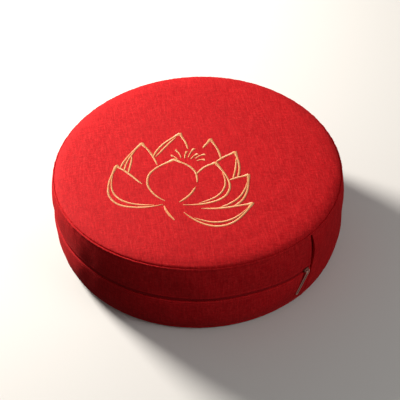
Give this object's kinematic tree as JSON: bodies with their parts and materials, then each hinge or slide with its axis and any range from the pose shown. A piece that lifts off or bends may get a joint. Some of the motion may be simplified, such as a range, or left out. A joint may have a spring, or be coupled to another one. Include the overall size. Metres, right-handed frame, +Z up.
{
  "type": "round meditation cushion",
  "caption": "Low round floor cushion with a crowned top, a sewn side band, and a zip with a metal pull along the front of the band.",
  "frame": {"origin": "centre of the underside, on the plane that the cushion stands on", "axes": "+Z up, through the middle of the round; -Y towards the front, where the zip is; +X to the right of the front, where the zip's pull hangs"},
  "size_m": [0.42, 0.4199, 0.1321],
  "materials": {
    "red_cloth": "matte",
    "gold_thread": "satin",
    "zip_teeth": "satin",
    "zip_metal": "satin"
  },
  "bodies": {
    "root": {"cushion": "red_cloth", "zip_chain": "zip_teeth", "zip_slider": "zip_metal", "pull_link": "zip_metal", "pull_tab": "zip_metal"}
  },
  "joints": []
}
